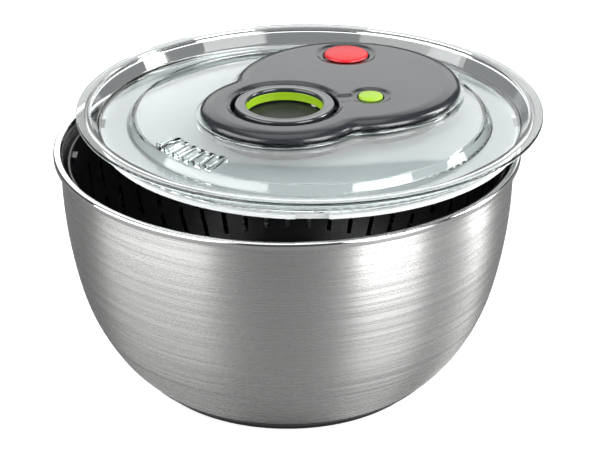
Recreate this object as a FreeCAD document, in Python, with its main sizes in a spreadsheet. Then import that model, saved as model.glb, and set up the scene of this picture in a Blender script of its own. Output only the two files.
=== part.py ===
import FreeCAD, Part
import math
import os

import Sketcher

# Salad spinner with a pull cord, in millimetres.
# The origin is on the bowl's axis at the underside of its base, with +Z up.
# The lid stands raised and a little to one side of the bowl. Its own pieces are drawn
# about the lid's axis, with zero height at the top of the lid's flange.

sizes = {
    # bowl, spun from sheet steel
    "bowl_radius": 128.7,
    "bowl_height": 140.5,
    "sheet_thickness": 0.8,
    "bowl_floor_radius": 76.0,
    "bowl_heel_radius": 92.5,
    "bowl_heel_rise": 8.0,
    "bowl_low_radius": 107.3,
    "bowl_low_rise": 26.0,
    "bowl_mid_radius": 121.3,
    "bowl_mid_rise": 60.0,
    "bowl_shoulder_drop": 15.5,
    "rim_overhang": 3.8,
    "rim_curl_height": 3.4,
    "boss_radius": 7.0,
    "boss_rise": 11.0,
    # base pad
    "base_thickness": 3.0,
    "base_foot_radius": 84.0,
    "base_lip_radius": 90.6,
    "base_lip_rise": 7.4,
    # basket
    "basket_wall": 1.6,
    "basket_gap": 3.1,
    "basket_drop": 7.5,
    "basket_floor_rise": 12.2,
    "basket_floor_radius": 84.0,
    "basket_low_radius": 102.0,
    "basket_low_rise": 28.0,
    "basket_mid_radius": 117.0,
    "basket_mid_rise": 64.0,
    "basket_neck_rise": 112.0,
    "basket_slot_width": 3.0,
    "lug_width": 8.0,
    "lug_depth": 3.1,
    "lug_height": 3.2,
    "hub_wall": 1.6,
    "bearing_wall": 2.0,
    # lid, about its own axis
    "lid_shift": 12.5,
    "lid_raise": 162.5,
    "lid_thickness": 2.0,
    "lid_overhang": 2.3,
    "flange_thickness": 1.8,
    "bead_gap": 1.5,
    "trough_depth": 9.0,
    "trough_width": 17.0,
    "plateau_inset": 29.7,
    "plateau_drop": 4.0,
    "plateau_rise": 0.4,
    "plateau_flat_radius": 62.0,
    "slot_width": 3.0,
    "slot_inner_radius": 84.0,
    "slot_outer_radius": 97.0,
    # drive housing: two round lobes on the lid's diagonal
    "small_lobe_radius": 47.5,
    "small_lobe_offset": 14.0,
    "main_lobe_radius": 65.0,
    "main_lobe_offset": 22.5,
    "notch_radius": 15.0,
    "platform_top": 1.0,
    "platform_margin": 2.0,
    "housing_top": 6.0,
    "housing_wall": 2.0,
    "bevel_width": 8.0,
    "opening_inset": 6.0,
    "tray_gap": 0.5,
    "tray_wall": 1.5,
    "tray_bottom": 11.5,
    # pull handle and its well
    "well_gap": 2.2,
    "well_depth": 2.5,
    "well_wall": 1.5,
    "ring_radius": 27.8,
    "ring_width": 6.3,
    "ring_drop": 1.5,
    "grip_thickness": 2.05,
    "grip_top": 3.5,
    "dish_margin": 2.5,
    "dish_depth": 1.0,
    "cord_inset": 2.1,
    "cord_radius": 0.7,
    "cord_level": 2.45,
    # spool, gear and pinion
    "spool_offset": 28.28,
    "spool_core_radius": 20.0,
    "spool_flange_radius": 24.5,
    "spool_top": 0.5,
    "spool_bottom": 4.0,
    "spool_web": 0.8,
    "axle_radius": 3.5,
    "shaft_fit": 0.05,
    "gear_radius": 30.0,
    "pinion_radius": 10.0,
    "gear_top": 4.6,
    "gear_bottom": 8.4,
    "tooth_rise": 0.85,
    "tooth_root": 1.15,
    # carrier and spindle
    "carrier_radius": 119.0,
    "carrier_thickness": 2.0,
    "carrier_top": 12.5,
    "spindle_radius": 3.0,
    "pin_radius": 2.0,
    # brake button
    "brake_x": 22.6,
    "brake_y": 62.0,
    "brake_radius": 13.2,
    "brake_gap": 0.4,
    "brake_travel": 1.8,
    "brake_dish_radius": 17.5,
    "cup_floor": 2.0,
    "stem_radius": 2.4,
    "pad_radius": 4.5,
    # catch button
    "catch_x": 34.3,
    "catch_y": 3.5,
    "catch_radius": 7.0,
    "catch_dish_radius": 11.4,
    "channel_width": 9.0,
    "catch_bar_width": 7.0,
    # fasteners
    "screw_radius": 1.25,
    "screw_head_radius": 2.6,
    "clearance": 0.3,
}

# Sizes that follow from the ones above.
fitted = {
    "ring_hole_radius": "ring_radius - ring_width",
    "well_radius": "ring_radius + well_gap",
    "dish_radius": "ring_radius + well_gap + dish_margin",
    "cord_reach": "ring_radius - cord_inset",
}

doc = FreeCAD.newDocument("salad_spinner")
sheet = doc.addObject("Spreadsheet::Sheet", "sizes")
for row, (name, value) in enumerate(sizes.items(), start=1):
    sheet.set("A%d" % row, name)
    sheet.set("B%d" % row, str(value))
    sheet.setAlias("B%d" % row, name)
doc.recompute()

pieces = []


def number(text):
    """Value of a short sum such as 'bowl_radius - 2 * sheet_thickness'."""
    total = 0.0
    sign = 1.0
    term = None
    for word in str(text).split():
        if word in ("+", "-"):
            if term is not None:
                total = total + sign * term
            sign = -1.0 if word == "-" else 1.0
            term = None
        elif word != "*":
            if word in fitted:
                value = number(fitted[word])
            else:
                value = sizes[word] if word in sizes else float(word)
            term = value if term is None else term * value
    return total + sign * term


def bound(text):
    """The same sum as an expression on the sheet."""
    words = []
    for word in str(text).split():
        if word in fitted:
            words.append("(" + bound(fitted[word]) + ")")
        else:
            words.append("sizes." + word if word in sizes else word)
    return " ".join(words)


def span(low, high):
    """The sum that is high minus low."""
    words = str(low).split()
    if words[0] not in ("+", "-"):
        words.insert(0, "+")
    swapped = {"+": "-", "-": "+"}
    return high + " " + " ".join(swapped.get(word, word) for word in words)


def new_body(label):
    body = doc.addObject("PartDesign::Body", label)
    body.Label = label
    pieces.append(body)
    return body


def new_feature(label, shapes):
    piece = doc.addObject("Part::Feature", label)
    piece.Label = label
    piece.Shape = Part.makeCompound(shapes)
    pieces.append(piece)
    return piece


def place(piece, x="0", y="0", z="0", turn=0.0):
    piece.Placement = FreeCAD.Placement(
        FreeCAD.Vector(number(x), number(y), number(z)),
        FreeCAD.Rotation(FreeCAD.Vector(0, 0, 1), turn),
    )
    piece.setExpression("Placement.Base.x", bound(x))
    piece.setExpression("Placement.Base.y", bound(y))
    piece.setExpression("Placement.Base.z", bound(z))


def place_on_lid(piece, x="0", y="0", turn=0.0):
    place(piece, "lid_shift + " + x, y, "lid_raise", turn)


def new_sketch(body, role, level="0"):
    sketch = body.newObject("Sketcher::SketchObject", body.Name + "_sketch")
    plane = [item for item in body.Origin.OriginFeatures if item.Role == role][0]
    sketch.AttachmentSupport = [(plane, "")]
    sketch.MapMode = "FlatFace"
    sketch.AttachmentOffset = FreeCAD.Placement(
        FreeCAD.Vector(0, 0, number(level)), FreeCAD.Rotation()
    )
    if level != "0":
        sketch.setExpression("AttachmentOffset.Base.z", bound(level))
    return sketch


def pin_point(sketch, edge, end, x, y):
    """Hold one end of an edge at a place given by two sums."""
    across = sketch.addConstraint(Sketcher.Constraint("DistanceX", -1, 1, edge, end, number(x)))
    sketch.setExpression("Constraints[%d]" % across, bound(x))
    along = sketch.addConstraint(Sketcher.Constraint("DistanceY", -1, 1, edge, end, number(y)))
    sketch.setExpression("Constraints[%d]" % along, bound(y))


def add_outline(sketch, corners):
    """Closed outline. A corner is (x, y) or (x, y, radius), where the edge that leaves it
    is an arc of that radius, bulging to the right of its direction if the radius is positive."""
    first_edge = sketch.GeometryCount
    ends = []
    count = len(corners)
    for index in range(count):
        here = corners[index]
        there = corners[(index + 1) % count]
        start = FreeCAD.Vector(number(here[0]), number(here[1]), 0)
        finish = FreeCAD.Vector(number(there[0]), number(there[1]), 0)
        if len(here) == 2:
            sketch.addGeometry(Part.LineSegment(start, finish), False)
            ends.append((1, 2))
            continue
        radius = number(here[2])
        side = 1.0 if radius > 0 else -1.0
        radius = abs(radius)
        chord = finish - start
        middle = (start + finish) * 0.5
        right = FreeCAD.Vector(chord.y, -chord.x, 0).normalize()
        reach = math.sqrt(max(radius ** 2 - chord.Length ** 2 / 4, 0.0))
        centre = middle - right * (side * reach)
        if side > 0:
            first, last = start, finish
            ends.append((1, 2))
        else:
            first, last = finish, start
            ends.append((2, 1))
        first_angle = math.atan2(first.y - centre.y, first.x - centre.x)
        last_angle = math.atan2(last.y - centre.y, last.x - centre.x)
        if last_angle < first_angle:
            last_angle = last_angle + 2 * math.pi
        circle = Part.Circle(centre, FreeCAD.Vector(0, 0, 1), radius)
        sketch.addGeometry(Part.ArcOfCircle(circle, first_angle, last_angle), False)
    for index in range(count):
        edge = first_edge + index
        after = first_edge + (index + 1) % count
        sketch.addConstraint(
            Sketcher.Constraint("Coincident", edge, ends[index][1], after, ends[(index + 1) % count][0])
        )
        pin_point(sketch, edge, ends[index][0], corners[index][0], corners[index][1])
        if len(corners[index]) == 3:
            text = corners[index][2]
            if text.startswith("- "):
                text = text[2:]
            held = sketch.addConstraint(Sketcher.Constraint("Radius", edge, number(text)))
            sketch.setExpression("Constraints[%d]" % held, bound(text))


def add_circle(sketch, x, y, radius):
    edge = sketch.addGeometry(
        Part.Circle(FreeCAD.Vector(number(x), number(y), 0), FreeCAD.Vector(0, 0, 1), number(radius)),
        False,
    )
    held = sketch.addConstraint(Sketcher.Constraint("Radius", edge, number(radius)))
    sketch.setExpression("Constraints[%d]" % held, bound(radius))
    if x == "0" and y == "0":
        sketch.addConstraint(Sketcher.Constraint("Coincident", edge, 3, -1, 1))
    else:
        pin_point(sketch, edge, 3, x, y)


def revolve(body, corners):
    """Turned solid: corners are (radius, height)."""
    sketch = new_sketch(body, "XZ_Plane")
    add_outline(sketch, corners)
    turned = body.newObject("PartDesign::Revolution", body.Name + "_turned")
    turned.Profile = sketch
    turned.ReferenceAxis = (sketch, ["V_Axis"])
    turned.Angle = 360
    doc.recompute()
    return turned


def pad(body, sketch, length):
    feature = body.newObject("PartDesign::Pad", body.Name + "_pad")
    feature.Profile = sketch
    feature.setExpression("Length", bound(length))
    doc.recompute()
    return feature


def cut(body, sketch, depth, upward=False):
    """Pocket below the sketch, or above it. It must take something away."""
    before = body.Shape.Volume
    feature = body.newObject("PartDesign::Pocket", body.Name + "_pocket")
    feature.Profile = sketch
    feature.setExpression("Length", bound(depth))
    feature.Reversed = upward
    doc.recompute()
    if body.Shape.Volume >= before - 1e-6:
        raise RuntimeError(body.Label + ": a pocket removed nothing")
    return feature


def repeat(body, features, count):
    """Copies of features all round the body's own axis."""
    pattern = body.newObject("PartDesign::PolarPattern", body.Name + "_pattern")
    pattern.Originals = features
    axis = [item for item in body.Origin.OriginFeatures if item.Role == "Z_Axis"][0]
    pattern.Axis = (axis, [""])
    pattern.Angle = 360
    pattern.Occurrences = count
    body.Tip = pattern
    doc.recompute()
    return pattern


def disc(body, radius, low, high, x="0", y="0", bore=None):
    sketch = new_sketch(body, "XY_Plane", low)
    add_circle(sketch, x, y, radius)
    if bore:
        add_circle(sketch, x, y, bore)
    return pad(body, sketch, span(low, high))


def bore(body, radius, top, depth, x="0", y="0"):
    sketch = new_sketch(body, "XY_Plane", top)
    add_circle(sketch, x, y, radius)
    return cut(body, sketch, depth)


def meeting_point(first, first_reach, second, second_reach, side):
    """Where two circles meet, on the left (1) or right (-1) of the line between them."""
    line = second - first
    along = (line.Length ** 2 + first_reach ** 2 - second_reach ** 2) / (2 * line.Length)
    across = math.sqrt(first_reach ** 2 - along ** 2)
    ahead = FreeCAD.Vector(line.x, line.y, 0).normalize()
    return first + ahead * along + FreeCAD.Vector(-ahead.y, ahead.x, 0) * (across * side)


def add_lobes(sketch, inset):
    """The housing's outline, moved inward by inset: two round lobes joined by hollow notches."""
    small = FreeCAD.Vector(-number("small_lobe_offset"), -number("small_lobe_offset"), 0)
    main = FreeCAD.Vector(number("main_lobe_offset"), number("main_lobe_offset"), 0)
    small_reach = number("small_lobe_radius")
    main_reach = number("main_lobe_radius")
    notch = number("notch_radius")
    left = meeting_point(small, small_reach + notch, main, main_reach + notch, 1)
    right = meeting_point(small, small_reach + notch, main, main_reach + notch, -1)

    def angle(centre, point):
        return math.atan2(point.y - centre.y, point.x - centre.x)

    def arc(centre, radius, begin, finish):
        while finish < begin:
            finish = finish + 2 * math.pi
        circle = Part.Circle(centre, FreeCAD.Vector(0, 0, 1), radius)
        return sketch.addGeometry(Part.ArcOfCircle(circle, begin, finish), False)

    shift = number(inset)
    main_arc = arc(main, main_reach - shift, angle(main, right), angle(main, left))
    left_arc = arc(left, notch + shift, angle(left, small), angle(left, main))
    small_arc = arc(small, small_reach - shift, angle(small, left), angle(small, right))
    right_arc = arc(right, notch + shift, angle(right, main), angle(right, small))
    for one, one_end, two, two_end in (
        (main_arc, 2, left_arc, 2),
        (left_arc, 1, small_arc, 1),
        (small_arc, 2, right_arc, 2),
        (right_arc, 1, main_arc, 1),
    ):
        sketch.addConstraint(Sketcher.Constraint("Tangent", one, one_end, two, two_end))
    for edge, text in (
        (main_arc, span(inset, "main_lobe_radius")),
        (small_arc, span(inset, "small_lobe_radius")),
        (left_arc, "notch_radius + " + inset),
        (right_arc, "notch_radius + " + inset),
    ):
        held = sketch.addConstraint(Sketcher.Constraint("Radius", edge, number(text)))
        sketch.setExpression("Constraints[%d]" % held, bound(text))
    pin_point(sketch, main_arc, 3, "main_lobe_offset", "main_lobe_offset")
    pin_point(sketch, small_arc, 3, "- small_lobe_offset", "- small_lobe_offset")


def lobes_sketch(body, level, inset):
    sketch = new_sketch(body, "XY_Plane", level)
    add_lobes(sketch, inset)
    return sketch


def add_turned_box(sketch, centre, ahead, back, front, half_width):
    """Rectangle with its length along a direction, worked out from the sheet's values."""
    side = FreeCAD.Vector(-ahead.y, ahead.x, 0)
    corners = [
        centre + ahead * back - side * half_width,
        centre + ahead * front - side * half_width,
        centre + ahead * front + side * half_width,
        centre + ahead * back + side * half_width,
    ]
    add_outline(sketch, [(repr(corner.x), repr(corner.y)) for corner in corners])


# ---------------------------------------------------------------- bowl and base

# Spun bowl: a flat floor with a raised boss, a curved wall and an outward curled rim.
bowl = new_body("bowl")
revolve(bowl, [
    ("0", "boss_rise - sheet_thickness"),
    ("boss_radius - sheet_thickness", "boss_rise - sheet_thickness"),
    ("boss_radius - sheet_thickness", "base_thickness"),
    ("bowl_floor_radius", "base_thickness", "29.5"),
    ("bowl_heel_radius", "bowl_heel_rise", "66.9"),
    ("bowl_low_radius", "bowl_low_rise", "117.3"),
    ("bowl_mid_radius", "bowl_mid_rise", "277"),
    ("bowl_radius", "bowl_height - bowl_shoulder_drop"),
    ("bowl_radius", "bowl_height - 1.9"),
    ("bowl_radius + 0.6", "bowl_height - sheet_thickness"),
    ("bowl_radius + rim_overhang - 1.3", "bowl_height - sheet_thickness"),
    ("bowl_radius + rim_overhang - sheet_thickness", "bowl_height - 1.3"),
    ("bowl_radius + rim_overhang - sheet_thickness", "bowl_height - rim_curl_height"),
    ("bowl_radius + rim_overhang", "bowl_height - rim_curl_height"),
    ("bowl_radius + rim_overhang", "bowl_height - 1.2", "1.3"),
    ("bowl_radius + rim_overhang - 1.2", "bowl_height"),
    ("bowl_radius + 0.4", "bowl_height", "1.5"),
    ("bowl_radius - sheet_thickness", "bowl_height - 1.4"),
    ("bowl_radius - sheet_thickness", "bowl_height - bowl_shoulder_drop", "- 276.2"),
    ("bowl_mid_radius - sheet_thickness", "bowl_mid_rise", "- 116.5"),
    ("bowl_low_radius - sheet_thickness", "bowl_low_rise", "- 66.1"),
    ("bowl_heel_radius - sheet_thickness", "bowl_heel_rise + 0.3", "- 28.7"),
    ("bowl_floor_radius", "base_thickness + sheet_thickness"),
    ("boss_radius", "base_thickness + sheet_thickness"),
    ("boss_radius", "boss_rise - 0.5"),
    ("boss_radius - 0.5", "boss_rise"),
    ("0", "boss_rise"),
])

# Non-slip pad under the floor, with a lip that laps up round the bowl's heel.
base_pad = new_body("base_pad")
revolve(base_pad, [
    ("0", "0"),
    ("base_foot_radius", "0"),
    ("base_foot_radius + 1.5", "0.4"),
    ("base_lip_radius + 1.8", "base_lip_rise - 0.4"),
    ("base_lip_radius + 1.4", "base_lip_rise"),
    ("base_lip_radius", "base_lip_rise - 0.9", "- 30"),
    ("bowl_floor_radius", "base_thickness - clearance"),
    ("bowl_floor_radius - 1", "base_thickness - 0.05"),
    ("0", "base_thickness - 0.05"),
])

# ---------------------------------------------------------------- basket

basket = new_body("basket")
revolve(basket, [
    ("boss_radius + bearing_wall", "basket_floor_rise - 6.6"),
    ("boss_radius + bearing_wall + hub_wall", "basket_floor_rise - 6.6"),
    ("boss_radius + bearing_wall + hub_wall", "basket_floor_rise"),
    ("basket_floor_radius", "basket_floor_rise", "34"),
    ("basket_low_radius", "basket_low_rise", "140"),
    ("basket_mid_radius", "basket_mid_rise", "240"),
    ("bowl_radius - sheet_thickness - basket_gap - 1", "basket_neck_rise"),
    ("bowl_radius - sheet_thickness - basket_gap", "bowl_height - basket_drop - 6"),
    ("bowl_radius - sheet_thickness - basket_gap", "bowl_height - basket_drop - 0.4"),
    ("bowl_radius - sheet_thickness - basket_gap - 0.4", "bowl_height - basket_drop"),
    ("bowl_radius - sheet_thickness - basket_gap - basket_wall + 0.4", "bowl_height - basket_drop"),
    ("bowl_radius - sheet_thickness - basket_gap - basket_wall", "bowl_height - basket_drop - 0.4"),
    ("bowl_radius - sheet_thickness - basket_gap - basket_wall", "bowl_height - basket_drop - 6"),
    ("bowl_radius - sheet_thickness - basket_gap - 1 - basket_wall", "basket_neck_rise", "- 238.4"),
    ("basket_mid_radius - basket_wall", "basket_mid_rise", "- 138.4"),
    ("basket_low_radius - basket_wall", "basket_low_rise", "- 32.4"),
    ("basket_floor_radius", "basket_floor_rise + basket_wall"),
    ("0", "basket_floor_rise + basket_wall"),
    ("0", "basket_floor_rise"),
    ("boss_radius + bearing_wall", "basket_floor_rise"),
])

# Lugs inside the basket's mouth, which the carrier's notches drop over.
lug_sketch = new_sketch(basket, "XY_Plane", "bowl_height - basket_drop - 1.8 - lug_height")
add_outline(lug_sketch, [
    ("bowl_radius - sheet_thickness - basket_gap - basket_wall - lug_depth", "- 0.5 * lug_width"),
    ("bowl_radius - sheet_thickness - basket_gap - 0.6", "- 0.5 * lug_width"),
    ("bowl_radius - sheet_thickness - basket_gap - 0.6", "0.5 * lug_width"),
    ("bowl_radius - sheet_thickness - basket_gap - basket_wall - lug_depth", "0.5 * lug_width"),
])
repeat(basket, [pad(basket, lug_sketch, "lug_height")], 4)

# Three tiers of drain slots round the wall.
wall_slots = new_sketch(basket, "XZ_Plane", "bowl_radius")
for low, high in (("32", "54"), ("59", "83"), ("88", "112")):
    add_outline(wall_slots, [
        ("- 0.5 * basket_slot_width", low),
        ("0.5 * basket_slot_width", low),
        ("0.5 * basket_slot_width", high),
        ("- 0.5 * basket_slot_width", high),
    ])
repeat(basket, [cut(basket, wall_slots, "bowl_radius - basket_floor_radius")], 48)

# Long drain slots across the floor.
floor_slots = new_sketch(basket, "XY_Plane", "basket_floor_rise + basket_wall")
add_outline(floor_slots, [
    ("24", "- 0.5 * basket_slot_width"),
    ("basket_floor_radius - 6", "- 0.5 * basket_slot_width"),
    ("basket_floor_radius - 6", "0.5 * basket_slot_width"),
    ("24", "0.5 * basket_slot_width"),
])
repeat(basket, [cut(basket, floor_slots, "basket_wall")], 24)

# Bearing cup in the basket's hub, which turns on the bowl's boss.
basket_bearing = new_body("basket_bearing")
revolve(basket_bearing, [
    ("boss_radius + shaft_fit", "basket_floor_rise - 6.4"),
    ("boss_radius + bearing_wall - 0.02", "basket_floor_rise - 6.4"),
    ("boss_radius + bearing_wall - 0.02", "basket_floor_rise"),
    ("0", "basket_floor_rise"),
    ("0", "boss_rise + 0.05"),
    ("boss_radius + shaft_fit", "boss_rise + 0.05"),
])

# ---------------------------------------------------------------- lid

lid = new_body("lid_shell")
revolve(lid, [
    ("0", "plateau_rise - lid_thickness"),
    ("plateau_flat_radius", "plateau_rise - lid_thickness", "- 153.6"),
    ("bowl_radius - plateau_inset - lid_thickness", "- plateau_drop - lid_thickness"),
    ("bowl_radius - plateau_inset + 0.6", "- trough_depth - 0.6 * lid_thickness"),
    ("bowl_radius - plateau_inset + 2.4", "- trough_depth - lid_thickness"),
    ("bowl_radius - plateau_inset + 3 + trough_width", "- trough_depth - lid_thickness", "3.2"),
    ("bowl_radius - sheet_thickness - bead_gap - 5.9", "- trough_depth"),
    ("bowl_radius - sheet_thickness - bead_gap - 1.8", "- flange_thickness - 1.4"),
    ("bowl_radius - sheet_thickness - bead_gap", "- flange_thickness - 0.9"),
    ("bowl_radius - sheet_thickness - bead_gap", "- flange_thickness + 0.3"),
    ("bowl_radius + lid_overhang - 1", "- flange_thickness + 0.3"),
    ("bowl_radius + lid_overhang - 1", "- flange_thickness"),
    ("bowl_radius + lid_overhang", "- flange_thickness"),
    ("bowl_radius + lid_overhang", "- 0.5", "0.7"),
    ("bowl_radius + lid_overhang - 0.5", "0"),
    ("bowl_radius - sheet_thickness - bead_gap - 2.2", "0", "1.2"),
    ("bowl_radius - sheet_thickness - bead_gap - 3.2", "- 1"),
    ("bowl_radius - sheet_thickness - bead_gap - 7", "- trough_depth + 1.6", "- 2.4"),
    ("bowl_radius - sheet_thickness - bead_gap - 9", "- trough_depth"),
    ("bowl_radius - plateau_inset + 4.4", "- trough_depth", "- 1.6"),
    ("bowl_radius - plateau_inset + 3", "- trough_depth + 1.2"),
    ("bowl_radius - plateau_inset + 1", "- plateau_drop - 0.7"),
    ("bowl_radius - plateau_inset", "- plateau_drop", "155.6"),
    ("plateau_flat_radius", "plateau_rise"),
    ("0", "plateau_rise"),
])
pad(lid, lobes_sketch(lid, "- plateau_drop - 1", "- 1 * platform_margin"), "platform_top + plateau_drop + 1")
cut(lid, lobes_sketch(lid, "- plateau_drop - 4", "0"), "plateau_drop + 4 + platform_top - lid_thickness", True)
cut(lid, lobes_sketch(lid, "platform_top + 1", "opening_inset"), "20")

# Pour slots: short radial openings with raised edges, next to the trough's step.
slot_turn = math.radians(225.0)
slot_pitch = math.radians(4.6)
slot_edges = new_sketch(lid, "XY_Plane", "- plateau_drop - 1.5")
slot_holes = new_sketch(lid, "XY_Plane", "10")
for index in range(6):
    turn = slot_turn + slot_pitch * (index - 2.5)
    ahead = FreeCAD.Vector(math.cos(turn), math.sin(turn), 0)
    middle = FreeCAD.Vector(0, 0, 0)
    inner = number("slot_inner_radius")
    outer = number("slot_outer_radius")
    half = number("slot_width") / 2
    add_turned_box(slot_edges, middle, ahead, inner - 1.0, outer + 1.0, half + 0.8)
    add_turned_box(slot_holes, middle, ahead, inner, outer, half)
pad(lid, slot_edges, "plateau_drop + 1.5 - 1.2")
cut(lid, slot_holes, "30")
place_on_lid(lid)

# ---------------------------------------------------------------- drive housing

# Where the small pieces stand, in the lid's plane.
well = FreeCAD.Vector(-number("small_lobe_offset"), -number("small_lobe_offset"), 0)
spool_centre = FreeCAD.Vector(number("spool_offset"), number("spool_offset"), 0)
catch_centre = FreeCAD.Vector(number("catch_x"), -number("catch_y"), 0)
diagonal = FreeCAD.Vector(math.sqrt(0.5), math.sqrt(0.5), 0)
cord_exit = well + diagonal * number("cord_reach")
catch_line = (catch_centre - well).normalize()
catch_reach = (catch_centre - well).Length
screw_spots = [
    well - diagonal * 25.0,
    spool_centre + diagonal * 41.0,
    spool_centre + FreeCAD.Vector(math.cos(math.radians(-24)), math.sin(math.radians(-24)), 0) * 43.0,
    spool_centre + FreeCAD.Vector(math.cos(math.radians(134)), math.sin(math.radians(134)), 0) * 46.0,
]
# The cord leaves the winding on a tangent and runs to the guide in the well's floor.
winding_radius = number("spool_core_radius + 4 * cord_radius")
lead_offset = winding_radius + number("cord_radius") + 0.35
guide_line = spool_centre - cord_exit
lead_turn = math.atan2(guide_line.y, guide_line.x) - math.asin(lead_offset / guide_line.Length)
lead_ahead = FreeCAD.Vector(math.cos(lead_turn), math.sin(lead_turn), 0)
lead_length = math.sqrt(guide_line.Length ** 2 - lead_offset ** 2)

housing = new_body("drive_housing")
base_section = lobes_sketch(housing, "platform_top", "0.2")
sections = [
    lobes_sketch(housing, "platform_top + 2.4", "0.9"),
    lobes_sketch(housing, "platform_top + 4.2", "0.45 * bevel_width"),
    lobes_sketch(housing, "housing_top", "bevel_width"),
]
loft = housing.newObject("PartDesign::AdditiveLoft", "drive_housing_loft")
loft.Profile = base_section
loft.Sections = sections
loft.Ruled = True
doc.recompute()
cut(housing, lobes_sketch(housing, "platform_top", "housing_wall + 1.4"), "1.4", True)
cut(housing, lobes_sketch(housing, "platform_top", "housing_wall + 4.5"), "housing_top - housing_wall - platform_top", True)

small_at = ("- small_lobe_offset", "- small_lobe_offset")
disc(housing, "well_radius + well_wall", "- well_depth - well_wall", "housing_top - housing_wall + 0.5", *small_at)
brake_at = ("brake_x", "brake_y")
disc(housing, "brake_radius + brake_gap + 1.4", "cup_floor - 1", "housing_top - housing_wall + 0.5", *brake_at)
catch_at = ("catch_x", "- catch_y")
disc(housing, "catch_radius + brake_gap + 1.4", "cup_floor - 1", "housing_top - housing_wall + 0.5", *catch_at)
spool_at = ("spool_offset", "spool_offset")
disc(housing, "axle_radius + 2.5", "spool_top + 0.4", "housing_top - housing_wall + 0.5", *spool_at)
for spot in screw_spots:
    spot_at = (repr(spot.x), repr(spot.y))
    disc(housing, "screw_radius + 2.2", "- gear_bottom - 0.6", "- well_depth - 0.5", *spot_at)
    if spot is not screw_spots[0]:
        disc(housing, "screw_radius + 2.2", "- well_depth - 0.5", "housing_top - housing_wall + 0.5", *spot_at)

# Shallow dishes on the top: round the pull ring, round both buttons, and a channel between two of them.
bore(housing, "dish_radius", "housing_top", "dish_depth", *small_at)
bore(housing, "brake_dish_radius", "housing_top", "dish_depth", *brake_at)
bore(housing, "catch_dish_radius", "housing_top", "dish_depth", *catch_at)
channel = new_sketch(housing, "XY_Plane", "housing_top")
channel_half = number("channel_width") / 2
add_turned_box(channel, well, catch_line, number("dish_radius") - 4, catch_reach, channel_half)
cut(housing, channel, "dish_depth")

bore(housing, "well_radius", "housing_top", "housing_top + well_depth", *small_at)
bore(housing, "brake_radius + brake_gap", "housing_top", "housing_top - cup_floor", *brake_at)
bore(housing, "catch_radius + brake_gap", "housing_top", "housing_top - cup_floor", *catch_at)
bore(housing, "stem_radius + shaft_fit", "cup_floor", "1", *brake_at)
bore(housing, "axle_radius + 0.02", "housing_top - housing_wall - 0.4", "housing_top", *spool_at)
for spot in screw_spots:
    bore(housing, "screw_radius - 0.1", "- gear_bottom + 4.4", "12", repr(spot.x), repr(spot.y))

# Openings for the catch's leg, the catch bar, the cord guide and the cord.
leg_hole = new_sketch(housing, "XY_Plane", "cup_floor")
add_turned_box(leg_hole, catch_centre, catch_line, -1.7, 1.7, 1.9)
cut(housing, leg_hole, "1")
bar_hole = new_sketch(housing, "XY_Plane", "0.9")
bar_half = number("catch_bar_width") / 2 + 0.35
add_turned_box(bar_hole, well, catch_line, number("well_radius") - 1, number("well_radius") + 3, bar_half)
cut(housing, bar_hole, "2.4")
guide_hole_at = (repr(cord_exit.x), repr(cord_exit.y))
bore(housing, "cord_radius + 2.32", "0", "6", *guide_hole_at)
cord_slot = new_sketch(housing, "XY_Plane", "- cord_level + 2 * cord_radius")
add_turned_box(cord_slot, cord_exit, lead_ahead, 0.0, lead_length, 1.1)
cut(housing, cord_slot, "4 * cord_radius")
place_on_lid(housing)

# Tray that closes the drive from below and clamps the lid against the housing.
tray = new_body("drive_tray")
pad(tray, lobes_sketch(tray, "- tray_bottom", "opening_inset + tray_gap"), "tray_bottom + platform_top - 0.1")
pad(tray, lobes_sketch(tray, "- 2.6", "3"), "2.6 + platform_top - lid_thickness - 0.1")
cut(tray, lobes_sketch(tray, "3", "opening_inset + tray_gap + tray_wall"), "3 + tray_bottom - tray_wall")
disc(tray, "axle_radius + 2.5", "- tray_bottom", "- gear_bottom - 0.4", *spool_at)
post_spot = well + catch_line * (number("well_radius") + 8.6)
disc(tray, "2.3", "- tray_bottom", "- 0.7", repr(post_spot.x), repr(post_spot.y))
for spot in screw_spots:
    disc(tray, "screw_radius + 2.8", "- tray_bottom", "- gear_bottom - 0.7", repr(spot.x), repr(spot.y))
for spot in screw_spots:
    bore(tray, "screw_radius + 0.15", "0", "20", repr(spot.x), repr(spot.y))
    bore(tray, "screw_head_radius + 0.2", "- tray_bottom + 1.2", "3", repr(spot.x), repr(spot.y))
bore(tray, "spindle_radius + 2.5", "0", "20")
bore(tray, "axle_radius + 0.02", "0", "11", *spool_at)
bore(tray, "pad_radius + brake_gap", "0", "20", *brake_at)
place_on_lid(tray)

# Tray screws, with a cross recess in each pan head.
screw_shapes = []
for spot in screw_spots:
    low = -number("tray_bottom") + 0.1
    head = Part.makeCylinder(number("screw_head_radius"), 1.05, FreeCAD.Vector(spot.x, spot.y, low))
    shank = Part.makeCylinder(number("screw_radius") - 0.12, 6.0, FreeCAD.Vector(spot.x, spot.y, low + 0.9))
    screw = head.fuse(shank)
    for turn in (0, 90):
        slot = Part.makeBox(2.6, 0.6, 0.8, FreeCAD.Vector(-1.3, -0.3, -0.1))
        slot.rotate(FreeCAD.Vector(0, 0, 0), FreeCAD.Vector(0, 0, 1), turn + 20)
        slot.translate(FreeCAD.Vector(spot.x, spot.y, low))
        screw = screw.cut(slot)
    screw_shapes.append(screw)
place_on_lid(new_feature("tray_screws", screw_shapes))

# ---------------------------------------------------------------- pull handle, cord and spool

axle = new_body("spool_axle")
disc(axle, "axle_radius", "- tray_bottom + 0.6", "housing_top - housing_wall - 0.5")
place_on_lid(axle, *spool_at)

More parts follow.
